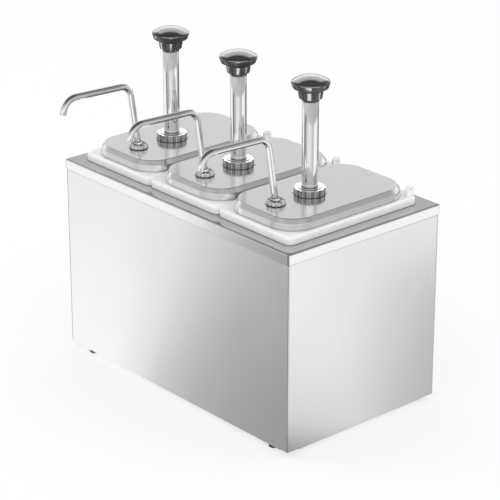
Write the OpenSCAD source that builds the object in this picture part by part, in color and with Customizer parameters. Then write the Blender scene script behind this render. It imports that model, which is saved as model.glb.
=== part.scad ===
// Condiment pump station: a sheet-steel cabinet with three drop-in jars, each under a lid
// that carries a push pump and a bent spout. Millimetres, +Z up, spouts towards -Y.
// The origin is on the counter, at the middle of the whole outline.

/* [Cabinet] */
// Rail that shows beyond the outer jars' rims, at each end
end_margin = 18; // [16:0.5:32]
// Rail that shows in front of the jars' rims
front_margin = 17; // [15:0.5:28]
// Rail that shows behind the jars' rims
rear_margin = 19; // [16:0.5:28]
// Height from the panels' bottom edge to the top face
cabinet_h = 247; // [235:1:280]
// Sheet thickness
sheet = 1.2; // [0.8:0.1:1.5]
// Height of the top rail's skirt
skirt_h = 12.7; // [9:0.1:20]
// Width of the flanges turned in at the panels' edges
flange_w = 17; // [16:0.5:18]
// Height of the bottom pan's upturned edge
pan_h = 12; // [6:1:25]

/* [Feet] */
// Height of a foot
foot_h = 5; // [4:0.5:9]
// Diameter of a foot
foot_d = 14; // [11:0.5:14]
// Distance from the cabinet's end to the middle of a foot
foot_inset = 35; // [29:1:85]
// Diameter of a foot's screw
screw_d = 3.5; // [3:0.1:4]

/* [Jars] */
// Room between one jar's rim and the next
jar_gap = 0.4; // [0.4:0.2:4]
// Width of the jar's rim
rim_w = 124.4; // [110:0.2:140]
// Depth of the jar's rim
rim_d = 201; // [180:0.5:230]
// Height of the jar's rim
rim_h = 10; // [8:0.5:12]
// Ledge of the rim outside the mouth, at the jar's sides
side_ledge = 6.2; // [6:0.1:8]
// Ledge of the rim outside the mouth, at the jar's front and back
end_ledge = 7.2; // [7:0.1:10]
// Height of the jar from its foot to the top of its rim
jar_h = 205; // [200:1:225]
// Wall of the jar
jar_wall = 3; // [2:0.1:3.5]
// Height of the raised mouth over the rim
lip_h = 5; // [3:0.5:8]

/* [Lids] */
// How far the lid stands outside the mouth, at its sides
lid_side_lap = 2.5; // [2.3:0.1:3.5]
// How far the lid stands outside the mouth, at its front and back
lid_end_lap = 2.2; // [2.2:0.1:2.8]
// Height of the lid
lid_h = 13.6; // [12:0.1:18]

/* [Pump] */
// From the lid's middle forward to the pump's axis
pump_ahead = 13.4; // [0:0.2:20]
// Room between the pump's foot and the jar's floor
pump_room = 4; // [2:0.5:12]
// Room between the plunger tube and the cylinder's bore
bore_room = 1.4; // [1.2:0.1:2.5]
// Wall of the cylinder
cylinder_wall = 1.6; // [1.2:0.1:2]
// Wall of the lock collar outside the pump's neck
collar_wall = 4; // [3.6:0.1:5.5]
// Height of the lock collar
collar_h = 9; // [8:0.1:12]
// Lobes round the lock collar
collar_lobes = 12; // [8:1:16]

/* [Plunger] */
// Diameter of the plunger tube
plunger_d = 19.4; // [18:0.1:19.6]
// Travel of the plunger, until its knob stands just over the collar
stroke = 103; // [60:1:110]
// Diameter of the knob
knob_d = 45.5; // [40:0.5:56]
// Height of the knob
knob_h = 29.7; // [26:0.1:36]

/* [Spout] */
// Diameter of the discharge tube
tube_d = 8; // [7:0.1:8.2]
// Wall of the discharge tube
tube_wall = 0.8; // [0.5:0.1:1]
// From the pump axis forward to where the tube leaves the lid
spout_y = 52.1; // [50:0.1:56]
// Lean of the tube's leg towards the front, in degrees
leg_lean = 8.8; // [7:0.1:10]
// Height of the leg's upper corner over the lid
spout_h = 82; // [60:1:100]
// Length of the run from corner to corner
run_l = 95.2; // [70:0.1:120]
// Rise of the run towards the front, in degrees
run_rise = 2; // [0:0.5:4]
// Straight length at the tip
tip_l = 2.92; // [1:0.01:20]
// Slope of the tip below level, in degrees
tip_slope = 80; // [70:1:90]
// Wall of the spout's nut outside its bush
nut_wall = 4.9; // [4:0.1:6]

/* [Hidden] */
$fn = 64;
LEFT = -1;
MIDDLE = 0;
RIGHT = 1;

// Overrun of every cut past the face that it opens
cut = 1;
// Clearance of a running fit, on the radius
run_fit = 0.06;
// Clearance of a loose or threaded fit, on the radius
loose_fit = 0.1;
// Clearance between pieces that only come near each other
clear = 0.3;

// Cabinet: the row of jars sets its size; the panels stand inside the skirt with a hair of room
jar_pitch = rim_w + jar_gap;
cabinet_w = 2 * jar_pitch + rim_w + 2 * end_margin;
cabinet_d = front_margin + rim_d + rear_margin;
skirt_gap = 0.1;
body_w = cabinet_w - 2 * (sheet + skirt_gap);
body_d = cabinet_d - 2 * (sheet + skirt_gap);
edge_r = 1.8;
slit_w = 0.5;
slit_l = 4;
plate_z = foot_h + cabinet_h;
panel_h = cabinet_h - sheet;
end_flange_w = 12;
flange_gap = 1.5;
flange_half = body_w / 2 - sheet - end_flange_w - flange_gap;
end_flange_half = body_d / 2 - sheet - flange_w - flange_gap;
pan_w = body_w - 2 * sheet;
pan_d = body_d - 4 * sheet;
foot_x = cabinet_w / 2 - foot_inset;
foot_y = body_d / 2 - sheet - flange_w / 2;

// Feet: a recess holds the screw's head, the nut sits on the pan
foot_draft = 0.8;
head_d = 2 * screw_d;
head_h = 2;
head_recess = 2.6;
nut_w = 6.4;
foot_nut_h = 2.6;
screw_stub = 0.8;

// Jars: all sizes are outside sizes, heights from the jar's foot
jar_y = (front_margin - rear_margin) / 2;
rim_r = 8;
rim_round = 3;
rim_skin = 3;
mouth_w = rim_w - 2 * side_ledge;
mouth_d = rim_d - 2 * end_ledge;
mouth_r = 31;
jar_taper = 4;
jar_foot_r = 8;
opening_gap = 1;
rim_top = plate_z + rim_h;
jar_foot_z = rim_top - jar_h;
ear_t = 4;
ear_l = 10.6;
ear_h = 13.3;
ear_inset = 5.2;
ear_hole_d = 4;
ridge_t = 2.6;
ridge_h = 4;

// Lids: the wall leans in, then a bevel runs to the flat top
lid_w = mouth_w + 2 * lid_side_lap;
lid_d = mouth_d + 2 * lid_end_lap;
lid_corner_ease = 0.5;
lid_r = mouth_r + lid_side_lap + lid_corner_ease;
lid_sheet = 1.2;
lid_lean = 1.1;
lid_wall_h = 8.6;
bevel_w = 2.9;
bevel_round = 0.9;
lid_top = rim_top + lid_h;

// The jar's rear ridge stands just behind the lid and ends at the ear
ridge_y = lid_d / 2 + clear + ridge_t / 2;
ear_x = rim_w / 2 - ear_inset - ear_t;
ridge_end = ear_x + ear_t / 2;

// Pump head: flange and gasket under the lid, threaded neck through it, collar on top
pump_y = jar_y - pump_ahead;
bore_d = plunger_d + 2 * bore_room;
cylinder_d = bore_d + 2 * cylinder_wall;
neck_wall = 1.8;
neck_d = cylinder_d + 2 * neck_wall;
neck_rise = 6;
head_flange_w = 3.5;
head_flange_d = neck_d + 2 * head_flange_w;
head_flange_t = 2.5;
gasket_t = 1;
collar_d = neck_d + 2 * collar_wall;
collar_top_t = 2.4;
collar_edge = 0.8;
collar_flute_r = 3.4;
collar_flute_depth = 1.2;
collar_step_w = 3.8;
collar_step_d = plunger_d + 2 * collar_step_w;
collar_step_h = 0.8;
lid_under = lid_top - lid_sheet;
flange_z = lid_under - gasket_t - head_flange_t;
collar_top = lid_top + collar_h;

// Valve body: heights from its foot
valve_z = jar_foot_z + jar_wall + pump_room;
ball_d = 10;
chamber_room = 1.3;
chamber_d = ball_d + 2 * chamber_room;
chamber_h = 23;
ledge_w = 1.2;
ledge_d = chamber_d + 2 * ledge_w;
valve_wall = 6.7;
valve_d = chamber_d + 2 * valve_wall;
cup_wall = 3.7;
valve_cup_d = cylinder_d + 2 * loose_fit + 2 * cup_wall;
valve_cup_z = 30;
cylinder_seat = 36;
valve_h = 48;
inlet_d = 7;
inlet_h = 6;
intake_w = 5;
intake_h = 3;
cage_bar = 2.4;
ball_lift = 3;
seat_gap = 0.1;
in_ball_z = inlet_h - inlet_d / 2 + seated(ball_d / 2);
cylinder_z = valve_z + cylinder_seat;

// Arm of the valve body: it follows the tube's leaning axis
arm_wall = 3.75;
arm_d = tube_d + 2 * arm_wall;
arm_l = 28;
arm_z = 11.6;
arm_floor = 3;
arm_seat_s = 8;
port_d = 4;
port_z = 17;
web_w = 9;
web_h = 27.4;
out_ball_room = 0.6;
out_ball_d = tube_d + 2 * loose_fit - 2 * out_ball_room;
out_ball_s = arm_seat_s - port_d / 2 + seated(out_ball_d / 2);
tube_end_s = out_ball_s + out_ball_d / 2 + ball_lift + clear;
seal_r = 0.9;
seal_s = 24.5;
groove_h = 2.2;

// Plunger, from the top stop down
plunger_show = stroke + clear;
piston_h = 16;
piston_top = collar_top - collar_top_t - clear;
groove_z = 6;
piston_groove = 4;
groove_depth = 2;
spigot_h = 12;
plunger_wall = 1.2;
pilot_room = 1.05;
pilot_h = 4;

// Knob, heights from its boss's lower face, radii from the middle
knob_z = collar_top + plunger_show;
boss_h = 3.4;
boss_over = 0.35;
socket_h = 14;
bell_wall = 3.7;
bell_r = plunger_d / 2 + bell_wall;
bell_rise = 8.6;
bell_lean = 1.2;
brim_z = 15.6;
brim_t = 7;
brim_lip = 2.2;

// Return spring: close end turns, open turns between
wire_d = 1.4;
spring_room = 1.65;
spring_d = bore_d - wire_d - 2 * spring_room;
pilot_d = spring_d - wire_d - 2 * pilot_room;
spring_turns = 12;
end_turns = 1.5;
end_rise = 2;
rings_per_turn = 8;
wire_sides = 6;
spring_z0 = cylinder_z + clear;
spring_z1 = piston_top - piston_h - clear;

// Spout: corners of its centre line, forward and up from the pump axis on the lid's face;
// a bent stretch is a hair thicker than the straights that end in it
bend_r = 15;
tip_bend_r = 18.5;
bend_swell = 0.02;
bend_lap = 0.05;
leg_dir = 90 - leg_lean;
leg_foot_s = (lid_top - valve_z - arm_z) / cos(leg_lean);
leg_point = [spout_y, 0];
corner_1 = leg_point + spout_h * [tan(leg_lean), 1];
corner_2 = corner_1 + run_l * [cos(run_rise), sin(run_rise)];
setback_1 = bend_r * tan((leg_dir - run_rise) / 2);
setback_2 = tip_bend_r * tan((run_rise + tip_slope) / 2);
tip_point = corner_2 + (setback_2 + tip_l) * [cos(tip_slope), -sin(tip_slope)];
arm_foot = leg_point - leg_foot_s * [cos(leg_dir), sin(leg_dir)];
spout_reach = tip_point[0] + tube_d / 2 * sin(tip_slope) - pump_y;

// Nut and bush of the spout, on the lid
bush_wall = 2.3;
bush_d = tube_d + 2 * bush_wall;
bush_rise = 3.6;
bush_flange_w = 2.7;
bush_flange_t = 2;
nut_d = bush_d + 2 * nut_wall;
nut_h = 6.2;
nut_flutes = 10;
nut_flute_r = 2.2;
nut_flute_depth = 0.9;
nut_rim = 1.6;
nut_dish = 1.7;
nut_cone_wall = 2.7;
nut_cone_lip = 1.1;
nut_cone_h = 8.6;

// The outline runs from the spouts' tips to the cabinet's back, and its middle is the origin
frame_y = (spout_reach - cabinet_d / 2) / 2;

// Points of an arc about c, from angle a0 to a1 in n steps
function arc(c, r, a0, a1, n) =
    [for (k = [0:n]) let (a = a0 + (a1 - a0) * k / n) c + r * [cos(a), sin(a)]];

// Height of a ball's centre over the point of the 45 degree cone that it sits in
function seated(ball_r) = sqrt(2) * (ball_r + seat_gap);

module placed() {
    translate([0, frame_y, 0]) children();
}

module station(side) {
    placed() translate([side * jar_pitch, 0, 0]) children();
}

module pump_axis(side, z) {
    station(side) translate([0, pump_y, z]) children();
}

// Turns a drawing of x forward and y up into the station's side view
module side_view(side) {
    pump_axis(side, lid_top) rotate([90, 0, -90]) children();
}

// Stands what is drawn along +Z on the tube's leaning axis, from the arm's foot
module on_leg(side) {
    side_view(side) translate([arm_foot[0], arm_foot[1], 0]) rotate([0, 90, leg_dir]) children();
}

module rounded_plan(w, d, r) {
    square([w - 2 * r, d], center = true);
    square([w, d - 2 * r], center = true);
    for (sx = [-1, 1], sy = [-1, 1]) translate([sx * (w / 2 - r), sy * (d / 2 - r)]) circle(r);
}

// Sweeps a wall's profile round a rectangle with round corners; the profile's x runs
// outwards from the corner's centre to r, its y is the height
module swept_wall(w, d, r, profile) {
    for (turn = [0:3]) {
        half_u = (turn % 2 == 0 ? w : d) / 2 - r;
        half_v = (turn % 2 == 0 ? d : w) / 2 - r;
        rotate(turn * 90) translate([half_u, half_v, 0]) rotate_extrude(angle = 90) polygon(profile);
        rotate(turn * 90) translate([half_u, half_v, 0]) rotate([90, 0, 0])
            linear_extrude(2 * half_v) polygon(profile);
    }
}

module block(w, d, z0, z1) {
    translate([-w / 2, -d / 2, z0]) cube([w, d, z1 - z0]);
}

module ring(d_out, d_in, z0, z1) {
    difference() {
        translate([0, 0, z0]) cylinder(d = d_out, h = z1 - z0);
        translate([0, 0, z0 - cut]) cylinder(d = d_in, h = z1 - z0 + 2 * cut);
    }
}

// Hole for a foot's screw through whatever lies on the foot
module screw_hole() {
    cylinder(d = screw_d + 2 * loose_fit, h = pan_h);
}

module at_feet() {
    placed() for (sx = [-1, 1], sy = [-1, 1]) translate([sx * foot_x, sy * foot_y, 0]) children();
}

// Cabinet

module top_rail() {
    skirt = concat([[edge_r - sheet, -skirt_h], [edge_r, -skirt_h]],
                   arc([0, -edge_r], edge_r, 0, 90, 4),
                   arc([0, -edge_r], edge_r - sheet, 90, 0, 4));
    color("gainsboro") placed() difference() {
        translate([0, 0, plate_z]) {
            swept_wall(cabinet_w, cabinet_d, edge_r, skirt);
            block(cabinet_w - 2 * edge_r, cabinet_d - 2 * edge_r, -sheet, 0);
        }
        for (side = [LEFT:RIGHT]) translate([side * jar_pitch, jar_y, plate_z - sheet - cut])
            linear_extrude(sheet + 2 * cut)
                rounded_plan(mouth_w + 2 * opening_gap, mouth_d + 2 * opening_gap, mouth_r + opening_gap);
        for (sx = [-1, 1], sy = [-1, 1])
            translate([sx * cabinet_w / 2, sy * cabinet_d / 2, plate_z - skirt_h - cut]) rotate(sx * sy * 45)
                block(slit_l, slit_w, 0, skirt_h - edge_r / 2 + cut);
    }
}

// Profile of an edge folded in: x runs inwards from the panel's face, y away from the flange
function fold(away) =
    [for (p = concat([[0, edge_r + sheet]], arc([edge_r, edge_r], edge_r, 180, 270, 4),
                     [[sheet + flange_w, 0], [sheet + flange_w, sheet]],
                     arc([edge_r, edge_r], edge_r - sheet, 270, 180, 4), [[sheet, edge_r + sheet]]))
        [p[0], away * p[1]]];

// A sheet panel along X with flanges folded in at its top and bottom edges, its face at -Y
module long_panel() {
    face_y = -body_d / 2;
    difference() {
        union() {
            translate([-body_w / 2, face_y, foot_h + edge_r]) cube([body_w, sheet, panel_h - 2 * edge_r]);
            for (edge = [[foot_h, 1], [foot_h + panel_h, -1]])
                translate([-flange_half, face_y, edge[0]]) rotate([90, 0, 90])
                    linear_extrude(2 * flange_half) polygon(fold(edge[1]));
        }
        for (sx = [-1, 1]) translate([sx * foot_x, -foot_y, foot_h - cut]) screw_hole();
    }
}

module front_panel() {
    color("whitesmoke") placed() long_panel();
}

module rear_panel() {
    color("whitesmoke") placed() rotate(180) long_panel();
}

// An end panel between the long ones, its face at +X, with flanges on all four edges
module end_panel() {
    face_x = body_w / 2;
    span = body_d - 2 * sheet;
    translate([face_x - sheet, -span / 2, foot_h + edge_r]) cube([sheet, span, panel_h - 2 * edge_r]);
    for (sy = [-1, 1]) translate([face_x - end_flange_w / 2 - sheet / 2, sy * (span - sheet) / 2, foot_h])
        block(end_flange_w + sheet, sheet, edge_r, panel_h - edge_r);
    for (edge = [[foot_h, 1], [foot_h + panel_h, -1]])
        translate([face_x, -end_flange_half, edge[0]]) rotate([90, 0, 180])
            linear_extrude(2 * end_flange_half) polygon(fold(edge[1]));
}

module left_end_panel() {
    color("whitesmoke") placed() rotate(180) end_panel();
}

module right_end_panel() {
    color("whitesmoke") placed() end_panel();
}

module bottom_pan() {
    edge = concat([[0, 0]], arc([0, edge_r], edge_r, -90, 0, 4), [[edge_r, pan_h], [edge_r - sheet, pan_h]],
                  arc([0, edge_r], edge_r - sheet, 0, -90, 4));
    color("silver") placed() difference() {
        translate([0, 0, foot_h + sheet]) {
            swept_wall(pan_w, pan_d, edge_r, edge);
            block(pan_w - 2 * edge_r, pan_d - 2 * edge_r, 0, sheet);
        }
        for (sx = [-1, 1], sy = [-1, 1]) translate([sx * foot_x, sy * foot_y, foot_h]) screw_hole();
    }
}

module feet() {
    color("dimgray") at_feet() difference() {
        cylinder(d1 = foot_d - 2 * foot_draft, d2 = foot_d, h = foot_h);
        translate([0, 0, -cut]) cylinder(d = head_d + 2 * loose_fit, h = head_recess + cut);
        screw_hole();
    }
}

module foot_screws() {
    color("silver") at_feet() {
        translate([0, 0, head_recess - head_h]) cylinder(d = head_d, h = head_h);
        translate([0, 0, head_recess - head_h])
            cylinder(d = screw_d, h = foot_h + 2 * sheet + foot_nut_h + screw_stub - head_recess + head_h);
    }
}

module foot_nuts() {
    color("silver") at_feet() translate([0, 0, foot_h + 2 * sheet]) difference() {
        cylinder(d = nut_w / cos(30), h = foot_nut_h, $fn = 6);
        translate([0, 0, -cut]) cylinder(d = screw_d + 2 * run_fit, h = foot_nut_h + 2 * cut);
    }
}

// Jars

module jar(side) {
    low_r = mouth_r - jar_taper;
    under_rim = jar_h - rim_h;
    vessel = concat([[0, 0]], arc([low_r - jar_foot_r, jar_foot_r], jar_foot_r, -90, 0, 6),
                    [[mouth_r, under_rim], [mouth_r, jar_h + lip_h], [mouth_r - jar_wall, jar_h + lip_h],
                     [mouth_r - jar_wall, under_rim]],
                    arc([low_r - jar_foot_r, jar_foot_r], jar_foot_r - jar_wall, 0, -90, 6), [[0, jar_wall]]);
    rim = concat([[0, under_rim], [rim_r, under_rim]],
                 arc([rim_r - rim_round, jar_h - rim_round], rim_round, 0, 90, 5), [[0, jar_h]]);
    color("ghostwhite") station(side) translate([0, jar_y, jar_foot_z]) {
        swept_wall(mouth_w, mouth_d, mouth_r, vessel);
        block(mouth_w - 2 * mouth_r, mouth_d - 2 * mouth_r, 0, jar_wall);
        difference() {
            union() {
                swept_wall(rim_w, rim_d, rim_r, rim);
                block(rim_w - 2 * rim_r, rim_d - 2 * rim_r, under_rim, jar_h);
                translate([-ridge_end, ridge_y - ridge_t / 2, jar_h - rim_skin])
                    cube([ridge_end + ear_x, ridge_t, rim_skin + ridge_h]);
            }
            translate([0, 0, under_rim - cut]) linear_extrude(rim_h - rim_skin + cut)
                rounded_plan(rim_w - 2 * rim_skin, rim_d - 2 * rim_skin, rim_r - rim_skin);
            translate([0, 0, under_rim - cut]) linear_extrude(rim_h + lip_h + 2 * cut)
                rounded_plan(mouth_w - 2 * jar_wall, mouth_d - 2 * jar_wall, mouth_r - jar_wall);
        }
    }
}

// The ear stands on the rim at the jar's rear right corner, with a hole for a hinge pin
module jar_ear(side) {
    ear_y = jar_y + (rim_d - rim_round - ear_l) / 2;
    eye_h = ear_h - ear_l / 2;
    color("ghostwhite") station(side) translate([ear_x, ear_y, rim_top]) difference() {
        union() {
            translate([0, -ear_l / 2, 0]) cube([ear_t, ear_l, eye_h]);
            translate([0, 0, eye_h]) rotate([0, 90, 0]) cylinder(d = ear_l, h = ear_t);
        }
        translate([-cut, 0, eye_h]) rotate([0, 90, 0]) cylinder(d = ear_hole_d, h = ear_t + 2 * cut);
    }
}

// Lids

module lid(side) {
    wall_r = lid_r - lid_lean;
    bevel_r = wall_r - bevel_w;
    skin = concat([[lid_r, 0], [wall_r, lid_wall_h - bevel_round]],
                  arc([wall_r - bevel_round, lid_wall_h - bevel_round], bevel_round, 0, 45, 2),
                  arc([bevel_r - bevel_round, lid_h - bevel_round], bevel_round, 45, 90, 2),
                  [[0, lid_h], [0, lid_h - lid_sheet], [bevel_r - bevel_round, lid_h - lid_sheet],
                   [wall_r - lid_sheet, lid_wall_h - bevel_round], [lid_r - lid_sheet, 0]]);
    color("lightgray") station(side) difference() {
        translate([0, jar_y, rim_top]) {
            swept_wall(lid_w, lid_d, lid_r, skin);
            block(lid_w - 2 * lid_r, lid_d - 2 * lid_r, lid_h - lid_sheet, lid_h);
        }
        translate([0, pump_y, lid_under - cut])
            cylinder(d = neck_d + 2 * clear, h = lid_sheet + 2 * cut);
        translate([0, pump_y - spout_y, lid_under - cut])
            cylinder(d = bush_d + 2 * clear, h = lid_sheet + 2 * cut);
    }
}

// Pump head and cylinder

module lock_collar(side) {
    inside_h = collar_h - collar_top_t;
    outline = [[0, 0], [collar_d / 2 - collar_edge, 0], [collar_d / 2, collar_edge],
               [collar_d / 2, collar_h - collar_step_h - collar_edge],
               [collar_d / 2 - collar_edge, collar_h - collar_step_h],
               [collar_step_d / 2, collar_h - collar_step_h], [collar_step_d / 2, collar_h], [0, collar_h]];
    color("silver") pump_axis(side, lid_top) difference() {
        rotate_extrude() polygon(outline);
        translate([0, 0, -cut]) cylinder(d = neck_d + 2 * loose_fit, h = inside_h + cut);
        translate([0, 0, -cut]) cylinder(d = plunger_d + 2 * run_fit, h = collar_h + 2 * cut);
        for (k = [1:collar_lobes]) rotate(k * 360 / collar_lobes)
            translate([collar_d / 2 + collar_flute_r - collar_flute_depth, 0, -cut])
                cylinder(r = collar_flute_r, h = collar_h + 2 * cut);
    }
}

// The flat gasket under the lid, and the O-ring round the tube in the valve body's arm
module pump_seals(side) {
    color("dimgray") {
        pump_axis(side, lid_under - gasket_t) ring(head_flange_d, neck_d + 2 * loose_fit, 0, gasket_t);
        on_leg(side) translate([0, 0, seal_s]) rotate_extrude()
            translate([tube_d / 2 + loose_fit / 2 + seal_r, 0]) circle(seal_r);
    }
}

module pump_cylinder(side) {
    neck_top = lid_top + neck_rise;
    color("silver") difference() {
        union() {
            pump_axis(side, cylinder_z) cylinder(d = cylinder_d, h = neck_top - cylinder_z);
            pump_axis(side, flange_z) cylinder(d = head_flange_d, h = head_flange_t);
            pump_axis(side, flange_z) cylinder(d = neck_d, h = neck_top - flange_z);
        }
        pump_axis(side, cylinder_z - cut) cylinder(d = bore_d, h = neck_top - cylinder_z + 2 * cut);
    }
}

module valve_body(side) {
    chamber_top = inlet_h + (chamber_d - inlet_d) / 2;
    cage_z = in_ball_z + ball_d / 2 + ball_lift + clear;
    channel_l = arm_foot[0];
    color("gainsboro") {
        difference() {
            union() {
                pump_axis(side, valve_z) {
                    cylinder(d = valve_d, h = valve_cup_z);
                    translate([0, 0, valve_cup_z - (valve_cup_d - valve_d) / 2])
                        cylinder(d1 = valve_d, d2 = valve_cup_d, h = (valve_cup_d - valve_d) / 2);
                    translate([0, 0, valve_cup_z]) cylinder(d = valve_cup_d, h = valve_h - valve_cup_z);
                    translate([0, -arm_foot[0] / 2, arm_z + arm_floor])
                        block(web_w, arm_foot[0], 0, web_h);
                }
                on_leg(side) cylinder(d = arm_d, h = arm_l);
            }
            pump_axis(side, valve_z) {
                translate([0, 0, -cut]) cylinder(d = inlet_d, h = inlet_h + 2 * cut);
                translate([0, 0, inlet_h])
                    cylinder(d1 = inlet_d, d2 = chamber_d, h = (chamber_d - inlet_d) / 2);
                translate([0, 0, chamber_top]) cylinder(d = chamber_d, h = chamber_h - chamber_top + cut);
                translate([0, 0, chamber_h]) cylinder(d = ledge_d, h = cylinder_seat - chamber_h + cut);
                translate([0, 0, cylinder_seat]) cylinder(d = cylinder_d + 2 * loose_fit, h = valve_h);
                translate([0, 0, port_z]) rotate([90, 0, 0]) cylinder(d = port_d, h = channel_l);
                for (turn = [0, 90]) rotate(turn) block(valve_d + 2 * cut, intake_w, -cut, intake_h);
            }
            on_leg(side) {
                translate([0, 0, arm_floor]) cylinder(d = port_d, h = arm_l);
                translate([0, 0, arm_seat_s]) cylinder(d1 = port_d, d2 = tube_d + 2 * loose_fit,
                    h = (tube_d - port_d) / 2 + loose_fit);
                translate([0, 0, arm_seat_s + (tube_d - port_d) / 2 + loose_fit])
                    cylinder(d = tube_d + 2 * loose_fit, h = arm_l);
                translate([0, 0, seal_s - groove_h / 2])
                    cylinder(d = tube_d + 4 * (seal_r + loose_fit), h = groove_h);
            }
        }
        pump_axis(side, valve_z) block(chamber_d + cage_bar, cage_bar, cage_z, cage_z + cage_bar);
    }
}

module inlet_ball(side) {
    color("silver") pump_axis(side, valve_z + in_ball_z) sphere(d = ball_d);
}

module outlet_ball(side) {
    color("silver") on_leg(side) translate([0, 0, out_ball_s]) sphere(d = out_ball_d);
}

// Spout

// A straight stretch that laps a little into the bend at each end
module straight(from, to) {
    step = to - from;
    start = from - bend_lap * step / norm(step);
    translate([start[0], start[1], 0]) rotate([0, 90, atan2(step[1], step[0])])
        ring(tube_d, tube_d - 2 * tube_wall, 0, norm(step) + 2 * bend_lap);
}

// A bend to the right that leaves a point in one direction and ends in another
module bend(r, from, start_dir, end_dir) {
    translate([from[0] + r * sin(start_dir), from[1] - r * cos(start_dir), 0]) rotate(end_dir + 90)
        rotate_extrude(angle = start_dir - end_dir) translate([r, 0]) difference() {
            circle(d = tube_d + 2 * bend_swell);
            circle(d = tube_d - 2 * tube_wall - 2 * bend_swell);
        }
}

module discharge_tube(side) {
    leg_unit = [cos(leg_dir), sin(leg_dir)];
    run_unit = [cos(run_rise), sin(run_rise)];
    tip_unit = [cos(tip_slope), -sin(tip_slope)];
    color("silver") side_view(side) {
        straight(arm_foot + (tube_end_s + bend_lap) * leg_unit, corner_1 - setback_1 * leg_unit);
        bend(bend_r, corner_1 - setback_1 * leg_unit, leg_dir, run_rise);
        straight(corner_1 + setback_1 * run_unit, corner_2 - setback_2 * run_unit);
        bend(tip_bend_r, corner_2 - setback_2 * run_unit, run_rise, -tip_slope);
        straight(corner_2 + setback_2 * tip_unit, tip_point - bend_lap * tip_unit);
    }
}

module leg_hole(side) {
    on_leg(side) cylinder(d = tube_d + 2 * loose_fit, h = leg_foot_s + nut_cone_h + 2 * tube_d);
}

module tube_bush(side) {
    color("gainsboro") difference() {
        pump_axis(side, lid_under - bush_flange_t) translate([0, -spout_y, 0]) {
            cylinder(d = bush_d + 2 * bush_flange_w, h = bush_flange_t);
            cylinder(d = bush_d, h = bush_flange_t + lid_sheet + bush_rise);
        }
        leg_hole(side);
    }
}

module tube_nut(side) {
    outer_r = nut_d / 2;
    floor_h = nut_h - nut_dish;
    outline = [[0, 0], [outer_r - nut_rim / 2, 0], [outer_r, nut_rim / 2], [outer_r, nut_h - nut_rim / 2],
               [outer_r - nut_rim / 2, nut_h], [outer_r - nut_rim, nut_h],
               [outer_r - nut_rim - nut_dish / 2, floor_h], [0, floor_h]];
    color("silver") difference() {
        union() {
            pump_axis(side, lid_top) translate([0, -spout_y, 0]) difference() {
                rotate_extrude() polygon(outline);
                for (k = [1:nut_flutes]) rotate(k * 360 / nut_flutes)
                    translate([outer_r + nut_flute_r - nut_flute_depth, 0, -cut])
                        cylinder(r = nut_flute_r, h = nut_h + 2 * cut);
            }
            on_leg(side) translate([0, 0, leg_foot_s + floor_h / 2])
                cylinder(d1 = tube_d + 2 * nut_cone_wall, d2 = tube_d + 2 * nut_cone_lip,
                    h = nut_cone_h - floor_h / 2);
        }
        pump_axis(side, lid_top) translate([0, -spout_y, -cut])
            cylinder(d = bush_d + 2 * loose_fit, h = bush_rise + clear + cut);
        leg_hole(side);
    }
}

// Plunger

module knob(side) {
    boss_r = plunger_d / 2 + boss_over;
    brim_r = knob_d / 2;
    brim_top = brim_z + brim_t;
    dome_h = knob_h - brim_top;
    dome_r = (pow(brim_r, 2) + pow(dome_h, 2)) / (2 * dome_h);
    dome_a = asin(brim_r / dome_r);
    flare_r = brim_r - brim_lip - bell_r - bell_lean;
    bell_top = boss_h + bell_rise;
    outline = concat([[0, 0], [boss_r, 0], [boss_r, boss_h], [bell_r, boss_h],
                      [bell_r + bell_lean, bell_top]],
                     [for (k = [1:4]) [bell_r + bell_lean + flare_r * (1 - cos(90 * k / 4)),
                                       bell_top + (brim_z - bell_top) * sin(90 * k / 4)]],
                     [for (k = [0:8]) [dome_r * sin(dome_a * (1 - k / 8)),
                                       knob_h - dome_r + dome_r * cos(dome_a * (1 - k / 8))]]);
    color("dimgray") pump_axis(side, knob_z) difference() {
        rotate_extrude() polygon(outline);
        translate([0, 0, -cut]) cylinder(d = plunger_d + 2 * run_fit, h = socket_h + cut);
    }
}

module plunger_tube(side) {
    color("silver") pump_axis(side, 0)
        ring(plunger_d, plunger_d - 2 * plunger_wall, piston_top, knob_z + socket_h);
}

module piston(side) {
    groove_r = bore_d / 2 - groove_depth;
    groove_top = groove_z + piston_groove;
    piston_r = bore_d / 2 - 2 * run_fit;
    spigot_r = plunger_d / 2 - plunger_wall - loose_fit;
    outline = [[0, 0], [piston_r, 0], [piston_r, groove_z], [groove_r, groove_z], [groove_r, groove_top],
               [piston_r, groove_top], [piston_r, piston_h], [spigot_r, piston_h],
               [spigot_r, piston_h + spigot_h], [0, piston_h + spigot_h]];
    color("gainsboro") pump_axis(side, piston_top - piston_h) {
        rotate_extrude() polygon(outline);
        translate([0, 0, -pilot_h]) cylinder(d = pilot_d, h = pilot_h + cut);
    }
}

module piston_seal(side) {
    inner_r = bore_d / 2 - groove_depth + loose_fit / 2;
    outer_r = bore_d / 2 - run_fit;
    outline = [[inner_r, clear / 2], [outer_r, clear / 2], [outer_r - clear, piston_groove / 2],
               [outer_r - clear, piston_groove - clear / 2], [inner_r, piston_groove - clear / 2]];
    color("dimgray") pump_axis(side, piston_top - piston_h + groove_z) rotate_extrude() polygon(outline);
}

// Height of the spring's centre line after a number of turns
function spring_rise(t) =
    let (mid = spring_turns - 2 * end_turns,
         open_l = spring_z1 - spring_z0 - wire_d - 2 * end_turns * end_rise)
    t < end_turns ? t * end_rise
    : t < end_turns + mid ? end_turns * end_rise + (t - end_turns) * open_l / mid
    : end_turns * end_rise + open_l + (t - end_turns - mid) * end_rise;

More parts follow.
